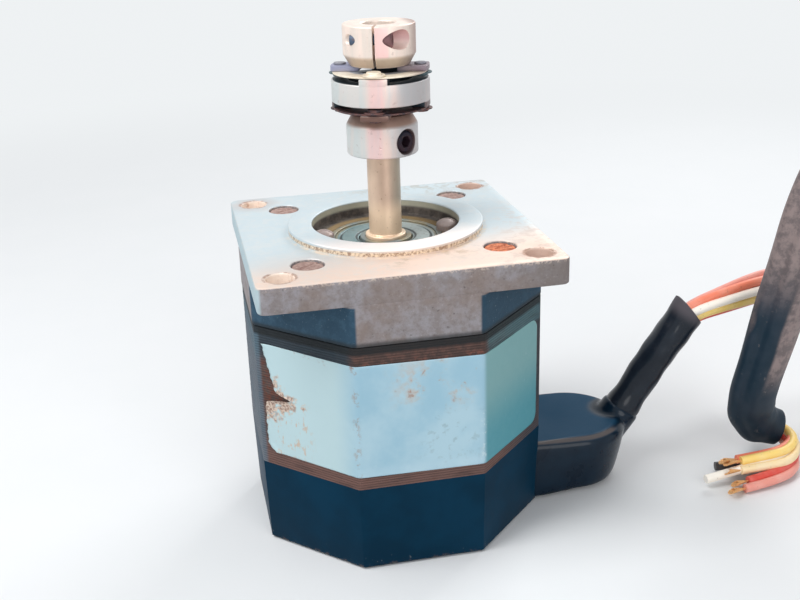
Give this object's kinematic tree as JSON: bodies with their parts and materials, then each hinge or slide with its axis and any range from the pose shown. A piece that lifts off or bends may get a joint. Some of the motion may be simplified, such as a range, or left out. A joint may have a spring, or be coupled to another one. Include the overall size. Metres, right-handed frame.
{
  "type": "stepper motor with disc coupling",
  "caption": "Octagonal hybrid stepper motor with a square flange, round pilot, double-disc shaft coupling and loose leads from a side boot.",
  "frame": {"origin": "centre of the rear face, on the shaft's axis, where the motor stands", "axes": "+Z along the shaft towards the coupling, +X towards the boot of the leads, -Y towards the viewer"},
  "size_m": [0.1616, 0.0564, 0.0983],
  "materials": {
    "cast_aluminium": "machined mounting face on a mottled, stained casting",
    "black_cast": "smooth satin black",
    "laminations": "stacked sheet steel, dark with light rust",
    "plated_screw": "worn plating, lightly rusted",
    "black_screw": "black oxide",
    "bobbin_plastic": "plain moulded",
    "copper_wire": "enamelled copper wire",
    "bearing_steel": "ground",
    "pressed_steel": "pressed sheet",
    "spring_steel": "thin rolled sheet",
    "shaft_steel": "ground, lightly stained",
    "magnet": "sintered",
    "coupling_aluminium": "bright turned",
    "moulded_rubber": "satin black",
    "shrink_sleeving": "satin black",
    "wire_insulation": "mixed orange, red, white, yellow and pink wires"
  },
  "bodies": {
    "motor_body": {"front_bell": "cast_aluminium", "rear_bell": "black_cast", "housing_screws": "plated_screw", "bearing_clamp_screws": "plated_screw", "stator_core": "laminations", "front_bobbin_frame": "bobbin_plastic", "rear_bobbin_frame": "bobbin_plastic", "phase_a_coils": "copper_wire", "phase_b_coils": "copper_wire", "front_bearing_outer_race": "bearing_steel", "front_bearing_shields": "pressed_steel", "rear_bearing_outer_race": "bearing_steel", "rear_bearing_shields": "pressed_steel", "spring_washer": "spring_steel", "lead_boot": "moulded_rubber", "lead_tube": "shrink_sleeving", "lead_core": "wire_insulation", "lead_bundle": "wire_insulation", "lead_sleeve": "shrink_sleeving", "lead_tail": "wire_insulation"},
    "rotor": {"shaft": "shaft_steel", "rear_rotor_cup": "laminations", "front_rotor_cup": "laminations", "rotor_magnet": "magnet", "front_bearing_inner_race": "bearing_steel", "rear_bearing_inner_race": "bearing_steel", "shaft_hub": "coupling_aluminium", "set_screw": "black_screw", "lower_hub_rivets": "plated_screw"},
    "front_ball_set": {"front_bearing_balls": "bearing_steel", "front_bearing_cage": "pressed_steel"},
    "rear_ball_set": {"rear_bearing_balls": "bearing_steel", "rear_bearing_cage": "pressed_steel"},
    "lower_disc": {"lower_disc": "spring_steel"},
    "coupling_ring": {"coupling_ring": "coupling_aluminium", "ring_rivets": "plated_screw"},
    "upper_disc": {"upper_disc": "spring_steel"},
    "clamp_hub": {"clamp_hub": "coupling_aluminium", "clamp_screw": "plated_screw", "upper_hub_rivets": "plated_screw"}
  },
  "joints": [
    {"name": "rotor_spin", "type": "hinge", "parent": "motor_body", "child": "rotor", "pos_m": [0, 0, 0.03185], "axis": [0, 0, 1], "continuous": true},
    {"name": "front_balls_spin", "type": "hinge", "parent": "motor_body", "child": "front_ball_set", "pos_m": [0, 0, 0.0539], "axis": [0, 0, 1], "continuous": true},
    {"name": "rear_balls_spin", "type": "hinge", "parent": "motor_body", "child": "rear_ball_set", "pos_m": [0, 0, 0.00745], "axis": [0, 0, 1], "continuous": true},
    {"name": "lower_disc_bend", "type": "hinge", "parent": "rotor", "child": "lower_disc", "pos_m": [0, 0, 0.08285], "axis": [-0.342, -0.9397, 0], "range_deg": [-1, 1], "stiffness_Nm_per_rad": 0.02},
    {"name": "ring_bend", "type": "hinge", "parent": "lower_disc", "child": "coupling_ring", "pos_m": [0, 0, 0.08285], "axis": [0.9397, -0.342, 0], "range_deg": [-1, 1], "stiffness_Nm_per_rad": 0.02},
    {"name": "upper_disc_bend", "type": "hinge", "parent": "coupling_ring", "child": "upper_disc", "pos_m": [0, 0, 0.08955], "axis": [-0.342, -0.9397, 0], "range_deg": [-1, 1], "stiffness_Nm_per_rad": 0.02},
    {"name": "clamp_hub_bend", "type": "hinge", "parent": "upper_disc", "child": "clamp_hub", "pos_m": [0, 0, 0.08955], "axis": [0.9397, -0.342, 0], "range_deg": [-1, 1], "stiffness_Nm_per_rad": 0.02}
  ],
  "couplings": [
    {"joint": "front_balls_spin", "follows": "rotor_spin", "ratio": 0.36767},
    {"joint": "rear_balls_spin", "follows": "rotor_spin", "ratio": 0.36767}
  ]
}
